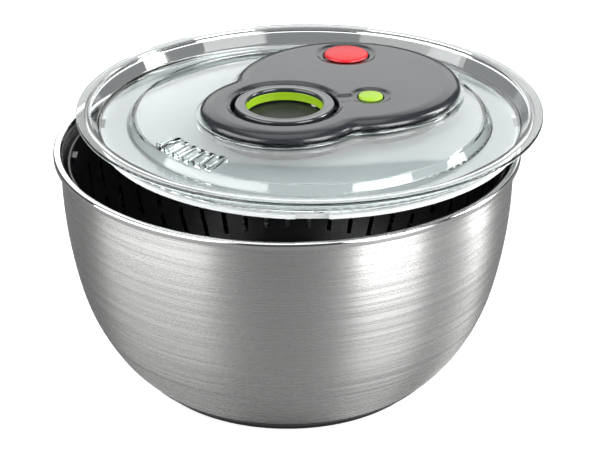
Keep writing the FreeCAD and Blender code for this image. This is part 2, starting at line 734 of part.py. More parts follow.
bush = new_body("spindle_bush")
disc(bush, "spindle_radius + 2.48", "- tray_bottom", "- tray_bottom + tray_wall", bore="spindle_radius + shaft_fit")
disc(bush, "spindle_radius + 4", "- tray_bottom + tray_wall", "- tray_bottom + tray_wall + 0.6",
     bore="spindle_radius + shaft_fit")
place_on_lid(bush)

# Elbow that turns the cord from level to upright in the well's floor.
guide = new_body("cord_guide")
disc(guide, "cord_radius + 2.3", "- well_depth - well_wall + 0.1", "- ring_drop - 0.35")
bore(guide, "cord_radius + 0.25", "0", "cord_level + cord_radius + 0.2")
guide_slot = new_sketch(guide, "XY_Plane", "- cord_level + cord_radius + 0.2")
add_turned_box(guide_slot, FreeCAD.Vector(0, 0, 0), lead_ahead, -0.9, 4.0, 0.95)
cut(guide, guide_slot, "2 * cord_radius + 0.4")
place_on_lid(guide, guide_hole_at[0], guide_hole_at[1])

handle_ring = new_body("handle_ring")
revolve(handle_ring, [
    ("ring_hole_radius + grip_thickness + 0.05", "- ring_drop"),
    ("ring_radius - 0.6", "- ring_drop"),
    ("ring_radius", "- ring_drop + 0.6"),
    ("ring_radius", "housing_top - 1"),
    ("ring_radius - 1", "housing_top"),
    ("ring_hole_radius + 1.4", "housing_top"),
    ("ring_hole_radius + 0.5", "housing_top - 0.5"),
    ("ring_hole_radius", "housing_top - 1.4"),
    ("ring_hole_radius", "grip_top"),
    ("ring_hole_radius + grip_thickness + 0.05", "grip_top"),
])
bore(handle_ring, "1.4", "3.2", "6", repr(diagonal.x * number("cord_reach")), repr(diagonal.y * number("cord_reach")))
catch_notch = new_sketch(handle_ring, "XY_Plane", "0.9")
add_turned_box(catch_notch, FreeCAD.Vector(0, 0, 0), catch_line, number("ring_radius") - 1, number("ring_radius") + 3, 4.0)
cut(handle_ring, catch_notch, "1.6")
place_on_lid(handle_ring, *small_at)

handle_grip = new_body("handle_grip")
disc(handle_grip, "ring_hole_radius + grip_thickness", "- ring_drop", "grip_top - 0.05", bore="ring_hole_radius + 0.1")
place_on_lid(handle_grip, *small_at)

# Ferrule that holds the cord's end up inside the ring.
ferrule = new_body("cord_ferrule")
disc(ferrule, "1.35", "1.0", "3.1")
place_on_lid(ferrule, guide_hole_at[0], guide_hole_at[1])

pull_cord = new_body("pull_cord")
disc(pull_cord, "cord_radius", "- cord_level", "0.98")
place_on_lid(pull_cord, guide_hole_at[0], guide_hole_at[1])

# Level run of the cord, from the guide to the winding.
lead_start = FreeCAD.Vector(0, 0, -number("cord_level")) + cord_exit + lead_ahead * 0.75
lead = Part.makeCylinder(number("cord_radius"), lead_length - 0.75, lead_start, lead_ahead)
place_on_lid(new_feature("cord_lead", [lead]))

spool = new_body("cord_spool")
revolve(spool, [
    ("axle_radius + shaft_fit", "- spool_bottom"),
    ("spool_flange_radius", "- spool_bottom"),
    ("spool_flange_radius", "- spool_bottom + spool_web"),
    ("spool_core_radius", "- spool_bottom + spool_web"),
    ("spool_core_radius", "spool_top - spool_web"),
    ("spool_flange_radius", "spool_top - spool_web"),
    ("spool_flange_radius", "spool_top"),
    ("spool_core_radius - 1.5", "spool_top"),
    ("spool_core_radius - 1.5", "- spool_bottom + spool_web"),
    ("axle_radius + shaft_fit", "- spool_bottom + spool_web"),
])
place_on_lid(spool, *spool_at)

# Two layers of two turns, as one closed ring with a rounded outside.
winding = new_body("cord_winding")
revolve(winding, [
    ("spool_core_radius + 0.02", "- cord_level - 0.95 * cord_radius"),
    ("spool_core_radius + 3.2 * cord_radius", "- cord_level - 0.95 * cord_radius", "cord_radius"),
    ("spool_core_radius + 3.2 * cord_radius", "- cord_level + cord_radius", "cord_radius"),
    ("spool_core_radius + 3.2 * cord_radius", "- cord_level + 2.95 * cord_radius"),
    ("spool_core_radius + 0.02", "- cord_level + 2.95 * cord_radius"),
])
place_on_lid(winding, *spool_at)


def gear_tooth(body, pitch_radius, low, high):
    sketch = new_sketch(body, "XY_Plane", "- " + low)
    add_outline(sketch, [
        (pitch_radius + " - tooth_root - 0.3", "- 0.80"),
        (pitch_radius, "- 0.50"),
        (pitch_radius + " + tooth_rise", "- 0.24"),
        (pitch_radius + " + tooth_rise", "0.24"),
        (pitch_radius, "0.50"),
        (pitch_radius + " - tooth_root - 0.3", "0.80"),
    ])
    return pad(body, sketch, low + " - " + high)


# Spur gear under the spool, module one.
gear_teeth = 60
pinion_teeth = 20
gear = new_body("spool_gear")
disc(gear, "gear_radius - tooth_root", "- gear_bottom", "- gear_top", bore="axle_radius + shaft_fit")
disc(gear, "axle_radius + 5", "- gear_top", "- spool_bottom", bore="axle_radius + shaft_fit")
repeat(gear, [gear_tooth(gear, "gear_radius", "gear_bottom", "gear_top")], gear_teeth)
lightening = new_sketch(gear, "XY_Plane", "- gear_top")
add_circle(lightening, "18", "0", "5")
repeat(gear, [cut(gear, lightening, "gear_bottom")], 6)
place_on_lid(gear, spool_at[0], spool_at[1], 360.0 / gear_teeth * 0.0)

# Pinion on the lid's axis, with ratchet teeth in its hollow underside.
pinion = new_body("drive_pinion")
disc(pinion, "pinion_radius - tooth_root", "- gear_bottom", "- gear_top", bore="pin_radius + shaft_fit")
repeat(pinion, [gear_tooth(pinion, "pinion_radius", "gear_bottom", "gear_top")], pinion_teeth)
hollow = new_sketch(pinion, "XY_Plane", "- gear_bottom")
add_circle(hollow, "0", "0", "pinion_radius - tooth_root - 2.2")
cut(pinion, hollow, "gear_bottom - gear_top - 1", True)
ratchet = new_sketch(pinion, "XY_Plane", "- gear_bottom")
add_outline(ratchet, [
    ("pinion_radius - tooth_root - 3.1", "0"),
    ("pinion_radius - tooth_root - 2", "- 1.6"),
    ("pinion_radius - tooth_root - 2", "0"),
])
repeat(pinion, [pad(pinion, ratchet, "gear_bottom - gear_top - 0.9")], 12)
place_on_lid(pinion, "0", "0", 360.0 / pinion_teeth / 2)

# Flat spiral spring between the axle and the spool's core.
spring_turns = 6.5
spring_inner = number("axle_radius") + 0.3
spring_outer = number("spool_core_radius") - 2.1
strip = 0.25
outer_points = []
inner_points = []
steps = int(spring_turns * 24)
for index in range(steps + 1):
    turn = 2 * math.pi * spring_turns * index / steps
    reach = spring_inner + (spring_outer - spring_inner) * index / steps
    outer_points.append(FreeCAD.Vector(reach * math.cos(turn), reach * math.sin(turn), 0))
    inner_points.append(FreeCAD.Vector((reach - strip) * math.cos(turn), (reach - strip) * math.sin(turn), 0))
outer_curve = Part.BSplineCurve()
outer_curve.interpolate(outer_points)
inner_curve = Part.BSplineCurve()
inner_curve.interpolate(inner_points)
spring_wire = Part.Wire([
    outer_curve.toShape(),
    Part.LineSegment(outer_points[-1], inner_points[-1]).toShape(),
    inner_curve.toShape().reversed(),
    Part.LineSegment(inner_points[0], outer_points[0]).toShape(),
])
spring_shape = Part.Face(spring_wire).extrude(FreeCAD.Vector(0, 0, 2.4))
spring_shape.translate(FreeCAD.Vector(0, 0, number("- spool_bottom + spool_web") + 0.35))
place_on_lid(new_feature("recoil_spring", [spring_shape]), *spool_at)

# ---------------------------------------------------------------- carrier, spindle and one-way clutch

carrier = new_body("carrier_plate")
revolve(carrier, [
    ("spindle_radius + 0.02", "- carrier_top"),
    ("carrier_radius - 0.4", "- carrier_top"),
    ("carrier_radius", "- carrier_top - 0.4"),
    ("carrier_radius", "- carrier_top - carrier_thickness"),
    ("carrier_radius - 5", "- carrier_top - carrier_thickness"),
    ("carrier_radius - 5", "- carrier_top - carrier_thickness - 2"),
    ("carrier_radius - 6.6", "- carrier_top - carrier_thickness - 2"),
    ("carrier_radius - 6.6", "- carrier_top - carrier_thickness"),
    ("spindle_radius + 6", "- carrier_top - carrier_thickness"),
    ("spindle_radius + 6", "- carrier_top - carrier_thickness - 2"),
    ("screw_radius + 0.25", "- carrier_top - carrier_thickness - 2"),
    ("screw_radius + 0.25", "- carrier_top - carrier_thickness - 1"),
    ("spindle_radius + 0.02", "- carrier_top - carrier_thickness - 1"),
])
notch_sketch = new_sketch(carrier, "XY_Plane", "- carrier_top")
add_outline(notch_sketch, [
    ("carrier_radius - 3.6", "- 0.5 * lug_width - 4.6"),
    ("carrier_radius + 3", "- 0.5 * lug_width - 4.6"),
    ("carrier_radius + 3", "0.5 * lug_width + 4.6"),
    ("carrier_radius - 3.6", "0.5 * lug_width + 4.6"),
])
repeat(carrier, [cut(carrier, notch_sketch, "carrier_thickness")], 4)
place_on_lid(carrier)

spindle = new_body("spindle")
revolve(spindle, [
    ("screw_radius", "- carrier_top - carrier_thickness - 0.95"),
    ("spindle_radius", "- carrier_top - carrier_thickness - 0.95"),
    ("spindle_radius", "- gear_bottom - 0.95"),
    ("spindle_radius - 0.5", "- gear_bottom - 0.95"),
    ("spindle_radius - 0.5", "- gear_bottom - 0.35"),
    ("spindle_radius + 0.4", "- gear_bottom - 0.35"),
    ("spindle_radius + 0.4", "- gear_top - 1.2"),
    ("pin_radius", "- gear_top - 1.2"),
    ("pin_radius", "- gear_top + 0.1"),
    ("0", "- gear_top + 0.1"),
    ("0", "- gear_bottom - 1.5"),
    ("screw_radius", "- gear_bottom - 1.5"),
])
place_on_lid(spindle)

clip = new_body("spindle_clip")
disc(clip, "spindle_radius + 2", "- gear_bottom - 0.9", "- gear_bottom - 0.4", bore="spindle_radius - 0.48")
place_on_lid(clip)

# Carrier screw, driven up into the spindle from below.
carrier_screw = new_body("carrier_screw")
disc(carrier_screw, "screw_radius + 2.6", "- carrier_top - carrier_thickness - 3.8", "- carrier_top - carrier_thickness - 2")
disc(carrier_screw, "screw_radius - 0.05", "- carrier_top - carrier_thickness - 2", "- gear_bottom - 2.5")
for turn in (0, 90):
    recess = new_sketch(carrier_screw, "XY_Plane", "- carrier_top - carrier_thickness - 3.8")
    ahead = FreeCAD.Vector(math.cos(math.radians(turn)), math.sin(math.radians(turn)), 0)
    add_turned_box(recess, FreeCAD.Vector(0, 0, 0), ahead, -1.7, 1.7, 0.4)
    cut(carrier_screw, recess, "1", True)
place_on_lid(carrier_screw)

# Three clutch pawls round the spindle's hub.
pawl_shapes = []
hub_radius = number("spindle_radius") + 0.42
tip_radius = number("pinion_radius - tooth_root") - 3.1 - number("clearance")
for index in range(3):
    first = math.radians(120 * index)
    points = []
    for step in range(9):
        turn = first + math.radians(8 * step)
        points.append(FreeCAD.Vector(hub_radius * math.cos(turn), hub_radius * math.sin(turn), 0))
    for step in range(8, -1, -1):
        turn = first + math.radians(8 * step)
        reach = hub_radius + 0.7 + (tip_radius - hub_radius - 0.7) * step / 8
        points.append(FreeCAD.Vector(reach * math.cos(turn), reach * math.sin(turn), 0))
    points.append(points[0])
    pawl = Part.Face(Part.makePolygon(points)).extrude(FreeCAD.Vector(0, 0, 2.0))
    pawl.translate(FreeCAD.Vector(0, 0, -number("gear_bottom") + 0.2))
    pawl_shapes.append(pawl)
place_on_lid(new_feature("clutch_pawls", pawl_shapes))

# ---------------------------------------------------------------- buttons

brake_button = new_body("brake_button")
revolve(brake_button, [
    ("stem_radius + 0.02", "cup_floor + brake_travel + 0.3"),
    ("stem_radius + 1.4", "cup_floor + brake_travel + 0.3"),
    ("stem_radius + 1.4", "housing_top + 0.1"),
    ("brake_radius - 1.6", "housing_top - 0.6"),
    ("brake_radius - 1.6", "cup_floor + brake_travel + 0.3"),
    ("brake_radius", "cup_floor + brake_travel + 0.3"),
    ("brake_radius", "housing_top - 0.2", "1.4"),
    ("brake_radius - 1.2", "housing_top + 0.8"),
    ("brake_radius - 6.2", "housing_top + 1.5"),
    ("2", "housing_top + 1.7"),
    ("0", "housing_top + 1.7"),
    ("0", "housing_top - 0.4"),
    ("stem_radius + 0.02", "housing_top - 0.4"),
])
place_on_lid(brake_button, *brake_at)

plunger = new_body("brake_plunger")
disc(plunger, "stem_radius", "- gear_bottom - 0.4", "housing_top - 0.45")
disc(plunger, "stem_radius + 1", "cup_floor - 1.8", "cup_floor - 1.05")
place_on_lid(plunger, *brake_at)

brake_pad = new_body("brake_pad")
disc(brake_pad, "pad_radius", "- carrier_top + brake_travel + clearance", "- gear_bottom - 0.42")
place_on_lid(brake_pad, *brake_at)


def coil_spring(label, coil_radius, wire_radius, low, high, turns):
    """Open coil spring with its two ends just inside the given heights."""
    length = number(high) - number(low) - 2 * wire_radius
    helix = Part.makeHelix(length / turns, length, coil_radius)
    start = FreeCAD.Vector(coil_radius, 0, 0)
    section = Part.Wire(Part.makeCircle(wire_radius, start, FreeCAD.Vector(0, 1, 0)))
    shape = Part.Wire(helix.Edges).makePipeShell([section], True, True)
    shape.translate(FreeCAD.Vector(0, 0, number(low) + wire_radius))
    return new_feature(label, [shape])


brake_spring = coil_spring("brake_spring", 7.0, 0.3, "cup_floor", "housing_top - 0.3", 2.75)
place_on_lid(brake_spring, *brake_at)

catch_button = new_body("catch_button")
revolve(catch_button, [
    ("0", "housing_top - 1"),
    ("catch_radius - 1.4", "housing_top - 1"),
    ("catch_radius - 1.4", "cup_floor + brake_travel + 0.3"),
    ("catch_radius", "cup_floor + brake_travel + 0.3"),
    ("catch_radius", "housing_top - 0.4", "1"),
    ("catch_radius - 0.8", "housing_top + 0.3"),
    ("2", "housing_top + 0.7"),
    ("0", "housing_top + 0.7"),
])
# Leg with a sloped foot, which draws the catch bar outward as the button goes down.
leg_sketch = new_sketch(catch_button, "XZ_Plane", "- 1.5")
add_outline(leg_sketch, [
    ("- 1.2", "housing_top - 0.8"),
    ("- 1.2", "- 1.5"),
    ("1.2", "0.9"),
    ("1.2", "housing_top - 0.8"),
])
pad(catch_button, leg_sketch, "3")
catch_turn = math.degrees(math.atan2(catch_line.y, catch_line.x))
place_on_lid(catch_button, "catch_x", "- catch_y", catch_turn)

catch_spring = coil_spring("catch_spring", 4.6, 0.3, "cup_floor", "housing_top - 1", 3)
place_on_lid(catch_spring, "catch_x", "- catch_y")

catch_bar = new_body("catch_bar")
bar_sketch = new_sketch(catch_bar, "XY_Plane", "- 0.6")
nose = number("ring_radius") + 0.35 - catch_reach
add_outline(bar_sketch, [
    (repr(nose), "- 0.5 * catch_bar_width"),
    ("4.6", "- 0.5 * catch_bar_width"),
    ("4.6", "0.5 * catch_bar_width"),
    (repr(nose), "0.5 * catch_bar_width"),
])
add_outline(bar_sketch, [
    ("- 3.4", "- 1.9"),
    ("1.4", "- 1.9"),
    ("1.4", "1.9"),
    ("- 3.4", "1.9"),
])
pad(catch_bar, bar_sketch, "1.2")
place_on_lid(catch_bar, "catch_x", "- catch_y", catch_turn)

# ---------------------------------------------------------------- check and write

doc.recompute()
for item in doc.Objects:
    for flag in ("Invalid", "Error"):
        if flag in item.State:
            raise RuntimeError(item.Label + " is " + flag)
for piece in pieces:
    if piece.Shape.isNull() or not piece.Shape.isValid():
        raise RuntimeError(piece.Label + " has a faulty shape")
    if not piece.Shape.Solids:
        raise RuntimeError(piece.Label + " has no solid")

os.makedirs("parts", exist_ok=True)
for piece in pieces:
    piece.Shape.exportStep("parts/" + piece.Label + ".step")
    box = piece.Shape.BoundBox
    print("%-16s %d solid, %9.0f mm3, z %7.1f to %6.1f" % (
        piece.Label, len(piece.Shape.Solids), piece.Shape.Volume, box.ZMin, box.ZMax))
print(len(pieces), "pieces")
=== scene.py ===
import bpy
import math
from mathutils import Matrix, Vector


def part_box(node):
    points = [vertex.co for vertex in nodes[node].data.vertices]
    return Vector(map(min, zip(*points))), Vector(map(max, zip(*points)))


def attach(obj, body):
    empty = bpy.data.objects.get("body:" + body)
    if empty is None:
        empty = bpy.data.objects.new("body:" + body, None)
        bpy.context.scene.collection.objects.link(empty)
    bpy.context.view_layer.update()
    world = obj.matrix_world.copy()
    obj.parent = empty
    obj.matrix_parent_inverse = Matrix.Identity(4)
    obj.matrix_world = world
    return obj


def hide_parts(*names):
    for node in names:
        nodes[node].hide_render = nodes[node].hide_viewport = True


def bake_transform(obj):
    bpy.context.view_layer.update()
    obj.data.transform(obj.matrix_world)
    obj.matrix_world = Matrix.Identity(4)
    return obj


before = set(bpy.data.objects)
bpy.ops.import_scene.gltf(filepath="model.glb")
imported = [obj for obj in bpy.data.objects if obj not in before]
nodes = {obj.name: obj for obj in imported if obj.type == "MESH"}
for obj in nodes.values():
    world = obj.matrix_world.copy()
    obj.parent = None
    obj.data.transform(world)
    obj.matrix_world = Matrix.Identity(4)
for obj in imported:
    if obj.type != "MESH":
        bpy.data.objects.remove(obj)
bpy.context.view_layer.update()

mm = 0.001
print("frame loaded:", len(nodes), "parts")


def middleOf(node):
    low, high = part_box(node)
    return [(low[axis] + high[axis]) / 2 for axis in range(3)]


def topOf(node):
    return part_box(node)[1][2]


# camera, floor and lights

view = {
    "place": (0.0, -0.89503, 0.53166),
    "pitch": 0.46230,
    "yaw": -0.008013,
    "lens": 102.75,
    "floorSize": 12.0,
    "floorColor": (0.8, 0.8, 0.81),
    "floorInMetal": (0.12, 0.12, 0.12),
    "floorLift": 0.5,
    "skyColor": (0.93, 0.96, 1.0),
    "sky": 0.08,
    "backdrop": 1.0,
    "aim": 0.1,
}

# azimuth 0 is behind the camera and grows to the left: azimuth, height, distance, width, tall, power
# in degrees, metres and watts
softboxes = {
    "lightLeft": (66, 0.75, 1.5, 2.0, 1.5, 52),
    "lightRight": (-48, 0.7, 1.5, 0.95, 1.4, 42),
    "lightEdge": (-100, 0.6, 1.5, 0.35, 1.3, 24),
    "lightBack": (180, 1.1, 1.9, 2.6, 1.2, 17),
    "lightTop": (170, 2.2, 0.5, 1.6, 1.6, 14),
}

bpy.ops.object.select_all(action="DESELECT")
bpy.context.scene.view_settings.view_transform = "Standard"
bpy.ops.object.camera_add(location=view["place"], rotation=(math.pi / 2 - view["pitch"], 0, view["yaw"]))
camera = bpy.context.object
camera.name = "camera"
camera.data.lens = view["lens"]
camera.data.sensor_width = 36.0
bpy.context.scene.camera = camera

sky = bpy.data.worlds.new("studio")
bpy.context.scene.world = sky
sky.use_nodes = True
skyTree = sky.node_tree
skyTree.nodes.clear()
skyOut = skyTree.nodes.new("ShaderNodeOutputWorld")
skyMix = skyTree.nodes.new("ShaderNodeMixShader")
skySoft = skyTree.nodes.new("ShaderNodeBackground")
skySeen = skyTree.nodes.new("ShaderNodeBackground")
skyPath = skyTree.nodes.new("ShaderNodeLightPath")
skySoft.inputs["Color"].default_value = (*view["skyColor"], 1)
skySoft.inputs["Strength"].default_value = view["sky"]
skySeen.inputs["Strength"].default_value = view["backdrop"]
skySeen.inputs["Color"].default_value = (1, 1, 1, 1)
skyTree.links.new(skyPath.outputs["Is Camera Ray"], skyMix.inputs["Fac"])
skyTree.links.new(skySoft.outputs["Background"], skyMix.inputs[1])
skyTree.links.new(skySeen.outputs["Background"], skyMix.inputs[2])
skyTree.links.new(skyMix.outputs["Shader"], skyOut.inputs["Surface"])


def addSoftbox(name, azimuth, height, distance, width, tall, power):
    turn = math.radians(azimuth)
    place = Vector((-math.sin(turn) * distance, -math.cos(turn) * distance, height))
    bpy.ops.object.light_add(type="AREA", location=place)
    box = bpy.context.object
    box.name = name
    box.data.shape = "RECTANGLE"
    box.data.size = width
    box.data.size_y = tall
    box.data.energy = power
    box.rotation_euler = (Vector((0, 0, view["aim"])) - place).to_track_quat("-Z", "Y").to_euler()


for name, softbox in softboxes.items():
    addSoftbox(name, *softbox)

bpy.ops.object.select_all(action="DESELECT")
bpy.ops.mesh.primitive_plane_add(size=view["floorSize"], location=(0, 0, 0))
floor = bpy.context.object
floor.name = "floor"


# material helpers

def newMaterial(name, color, roughness, metallic=0.0):
    made = bpy.data.materials.new(name)
    made.use_nodes = True
    shader = made.node_tree.nodes["Principled BSDF"]
    shader.inputs["Base Color"].default_value = (*color, 1)
    shader.inputs["Roughness"].default_value = roughness
    shader.inputs["Metallic"].default_value = metallic
    return made, made.node_tree, shader


def objectPoint(tree, scale=(1, 1, 1)):
    point = tree.nodes.new("ShaderNodeTexCoord")
    mapping = tree.nodes.new("ShaderNodeMapping")
    mapping.inputs["Scale"].default_value = scale
    tree.links.new(point.outputs["Object"], mapping.inputs["Vector"])
    return mapping.outputs["Vector"]


def addNoise(tree, vector, scale, detail=2.0):
    noise = tree.nodes.new("ShaderNodeTexNoise")
    noise.inputs["Scale"].default_value = scale
    noise.inputs["Detail"].default_value = detail
    tree.links.new(vector, noise.inputs["Vector"])
    return noise.outputs["Fac"]


def addRange(tree, value, low, high, fromLow=0.3, fromHigh=0.7):
    spread = tree.nodes.new("ShaderNodeMapRange")
    spread.inputs["From Min"].default_value = fromLow
    spread.inputs["From Max"].default_value = fromHigh
    spread.inputs["To Min"].default_value = low
    spread.inputs["To Max"].default_value = high
    tree.links.new(value, spread.inputs["Value"])
    return spread.outputs["Result"]


def addMix(tree, fac, first, second):
    mix = tree.nodes.new("ShaderNodeMix")
    mix.data_type = "RGBA"
    tree.links.new(fac, mix.inputs["Factor"])
    mix.inputs[6].default_value = (*first, 1)
    mix.inputs[7].default_value = (*second, 1)
    return mix.outputs[2]


def addBump(tree, shader, height, strength, distance):
    bump = tree.nodes.new("ShaderNodeBump")
    bump.inputs["Strength"].default_value = strength
    bump.inputs["Distance"].default_value = distance
    tree.links.new(height, bump.inputs["Height"])
    tree.links.new(bump.outputs["Normal"], shader.inputs["Normal"])


# one grain group shared by every moulded piece: cloud for colour and gloss, fine for bump
def makeGrainGroup():
    group = bpy.data.node_groups.new("mouldGrain", "ShaderNodeTree")
    group.interface.new_socket("Fine Scale", in_out="INPUT", socket_type="NodeSocketFloat")
    group.interface.new_socket("Cloud", in_out="OUTPUT", socket_type="NodeSocketFloat")
    group.interface.new_socket("Fine", in_out="OUTPUT", socket_type="NodeSocketFloat")
    inside = group.nodes.new("NodeGroupInput")
    outside = group.nodes.new("NodeGroupOutput")
    point = objectPoint(group)
    fine = group.nodes.new("ShaderNodeTexNoise")
    group.links.new(point, fine.inputs["Vector"])
    group.links.new(inside.outputs["Fine Scale"], fine.inputs["Scale"])
    group.links.new(addNoise(group, point, 22.0, 3.0), outside.inputs["Cloud"])
    group.links.new(fine.outputs["Fac"], outside.inputs["Fine"])
    return group


grainGroup = makeGrainGroup()


def mouldedPlastic(name, color, roughness, grain=1800.0, strength=0.08, spread=0.06, coat=0.0, tint=0.12):
    made, tree, shader = newMaterial(name, color, roughness)
    grainNode = tree.nodes.new("ShaderNodeGroup")
    grainNode.node_tree = grainGroup
    grainNode.inputs["Fine Scale"].default_value = grain
    cloud = grainNode.outputs["Cloud"]
    dark = tuple(part * (1 - tint) for part in color)
    light = tuple(min(1.0, part * (1 + tint)) for part in color)
    tree.links.new(addMix(tree, cloud, dark, light), shader.inputs["Base Color"])
    gloss = addRange(tree, cloud, roughness - spread / 2, roughness + spread / 2)
    tree.links.new(gloss, shader.inputs["Roughness"])
    addBump(tree, shader, grainNode.outputs["Fine"], strength, 0.0001)
    shader.inputs["Coat Weight"].default_value = coat
    return made


def dress(node, material):
    mesh = nodes[node].data
    mesh.materials.clear()
    mesh.materials.append(material)


floorFinish, floorTree, floorShader = newMaterial("paleFloor", view["floorColor"], 0.6)
floorPath = floorTree.nodes.new("ShaderNodeLightPath")
floorSeen = floorPath.outputs["Is Camera Ray"]
# the camera sees a white floor, and the steel mirrors a darker one
floorTone = addMix(floorTree, floorSeen, view["floorInMetal"], view["floorColor"])
floorTree.links.new(floorTone, floorShader.inputs["Base Color"])
floorShader.inputs["Emission Color"].default_value = (1, 1, 1, 1)
floorGlow = addRange(floorTree, floorSeen, 0, view["floorLift"], 0, 1)
floorTree.links.new(floorGlow, floorShader.inputs["Emission Strength"])
floor.data.materials.append(floorFinish)
print("stage, camera and lights ready")


# finishes

steelLook = {
    "dark": (0.7, 0.695, 0.685),
    "light": (0.84, 0.835, 0.825),
    "scratch": 3600,
    "band": 900,
    "grain": 0.92,
}
clearLook = {"color": (0.92, 0.965, 0.965), "roughness": 0.03, "index": 1.49}
frostLook = {"color": (0.88, 0.9, 0.9), "roughness": 0.5, "through": 0.3, "index": 1.4}


def brushedSteel(low=0.24, high=0.31, bumpStrength=0.06):
    made, tree, shader = newMaterial("brushedSteel", steelLook["light"], (low + high) / 2, 1.0)
    fine = addNoise(tree, objectPoint(tree, (9, 9, steelLook["scratch"])), 1.0, 3.0)
    coarse = addNoise(tree, objectPoint(tree, (5, 5, steelLook["band"])), 1.0, 2.0)
    both = tree.nodes.new("ShaderNodeMath")
    both.operation = "ADD"
    tree.links.new(fine, both.inputs[0])
    tree.links.new(coarse, both.inputs[1])
    tree.links.new(addMix(tree, fine, steelLook["dark"], steelLook["light"]), shader.inputs["Base Color"])
    tree.links.new(addRange(tree, coarse, low, high), shader.inputs["Roughness"])
    addBump(tree, shader, both.outputs["Value"], bumpStrength, 0.0002)
    # brushed round the bowl, so highlights run up and down the wall
    shader.inputs["Anisotropic"].default_value = steelLook["grain"]
    shader.inputs["Anisotropic Rotation"].default_value = 0.25
    return made


def clearPlastic():
    made, tree, shader = newMaterial("clearPlastic", clearLook["color"], clearLook["roughness"])
    shader.inputs["Transmission Weight"].default_value = 1.0
    shader.inputs["IOR"].default_value = clearLook["index"]
    haze = addNoise(tree, objectPoint(tree), 40.0, 3.0)
    tree.links.new(addRange(tree, haze, 0.02, 0.07), shader.inputs["Roughness"])
    return made


def frostedPlastic():
    made, tree, shader = newMaterial("frostedPlastic", frostLook["color"], frostLook["roughness"])
    shader.inputs["Transmission Weight"].default_value = frostLook["through"]
    shader.inputs["IOR"].default_value = frostLook["index"]
    grain = addNoise(tree, objectPoint(tree), 900.0, 2.0)
    tree.links.new(addRange(tree, grain, 0.4, 0.55), shader.inputs["Roughness"])
    addBump(tree, shader, grain, 0.1, 0.0002)
    return made


def turnedSteel(name, color, roughness, scale):
    made, tree, shader = newMaterial(name, color, roughness, 1.0)
    marks = addNoise(tree, objectPoint(tree, scale), 1.0, 2.0)
    tree.links.new(addRange(tree, marks, roughness - 0.07, roughness + 0.07), shader.inputs["Roughness"])
    addBump(tree, shader, marks, 0.1, 0.00005)
    return made


def braidedCord():
    made, tree, shader = newMaterial("braidedCord", (0.03, 0.03, 0.032), 0.85)
    wave = tree.nodes.new("ShaderNodeTexWave")
    wave.inputs["Scale"].default_value = 900.0
    wave.inputs["Distortion"].default_value = 1.5
    tree.links.new(objectPoint(tree, (1, 1, 1.6)), wave.inputs["Vector"])
    strands = addMix(tree, wave.outputs["Fac"], (0.018, 0.018, 0.02), (0.07, 0.07, 0.074))
    tree.links.new(strands, shader.inputs["Base Color"])
    addBump(tree, shader, wave.outputs["Fac"], 0.5, 0.0002)
    shader.inputs["Sheen Weight"].default_value = 0.2
    return made


steel = brushedSteel()
polishedSteel = turnedSteel("polishedSteel", (0.8, 0.795, 0.785), 0.1, (60, 60, 900))
clearLid = clearPlastic()
frosted = frostedPlastic()
charcoal = mouldedPlastic("charcoalPlastic", (0.016, 0.018, 0.021), 0.22, coat=0.1, spread=0.04)
ringGloss = mouldedPlastic("ringPlastic", (0.02, 0.022, 0.026), 0.16, coat=0.4)
# near-black matte for the inner parts, also laid on the housing's well as painted shade
innerBlackAndWellShade = mouldedPlastic("innerPlasticAndWellShade", (0.008, 0.008, 0.01), 0.5)
basketBlack = mouldedPlastic("basketPlastic", (0.018, 0.018, 0.02), 0.32)
redPlastic = mouldedPlastic("redPlastic", (0.5, 0.003, 0.008), 0.38, tint=0.06)
greenPlastic = mouldedPlastic("greenPlastic", (0.26, 0.44, 0.008), 0.38, tint=0.06)
acetal = mouldedPlastic("acetalPlastic", (0.8, 0.8, 0.76), 0.4)
baseRubber = mouldedPlastic("baseRubber", (0.012, 0.012, 0.013), 0.6, grain=900.0, strength=0.2)
brakeRubber = mouldedPlastic("brakeRubber", (0.04, 0.04, 0.04), 0.7, grain=900.0, strength=0.2)
smallSteel = turnedSteel("turnedSteel", (0.6, 0.6, 0.61), 0.3, (300, 300, 3000))
springSteel = turnedSteel("springSteel", (0.4, 0.41, 0.43), 0.35, (900, 900, 900))
cordBraid = braidedCord()

for node, finish in {
    "bowl": steel, "base_pad": baseRubber, "basket": basketBlack, "basket_bearing": acetal,
    "lid_shell": clearLid, "drive_housing": charcoal, "drive_tray": innerBlackAndWellShade, "tray_screws": smallSteel,
    "spool_axle": smallSteel, "spindle_bush": acetal, "cord_guide": acetal, "cord_lead": cordBraid,
    "recoil_spring": springSteel, "brake_spring": springSteel, "catch_spring": springSteel,
    "handle_ring": ringGloss, "handle_grip": greenPlastic, "cord_ferrule": smallSteel, "pull_cord": cordBraid,
    "cord_spool": acetal, "cord_winding": cordBraid, "spool_gear": acetal, "drive_pinion": acetal,
    "carrier_plate": frosted, "spindle": smallSteel, "spindle_clip": springSteel, "carrier_screw": smallSteel,
    "clutch_pawls": smallSteel, "brake_button": redPlastic, "brake_plunger": innerBlackAndWellShade,
    "brake_pad": brakeRubber,
    "catch_button": greenPlastic, "catch_bar": innerBlackAndWellShade,
}.items():
    dress(node, finish)
print("finishes on", len(nodes), "parts")


# shaping helpers

def arcBetween(start, finish, radius, count=8):
    # points after start up to finish on an arc that bulges to the right of travel,
    # or to the left if the radius is negative
    begin, end = Vector(start), Vector(finish)
    chord = end - begin
    right = Vector((chord.y, -chord.x)).normalized()
    side = 1 if radius > 0 else -1
    reach = math.sqrt(max(radius * radius - chord.length_squared / 4, 0))
    center = (begin + end) / 2 - right * side * reach
    first, last = begin - center, end - center
    sweep = math.atan2(first.x * last.y - first.y * last.x, first.dot(last))
    points = []
    for step in range(1, count + 1):
        turn = sweep * step / count
        points.append((
            center.x + first.x * math.cos(turn) - first.y * math.sin(turn),
            center.y + first.x * math.sin(turn) + first.y * math.cos(turn),
        ))
    return points


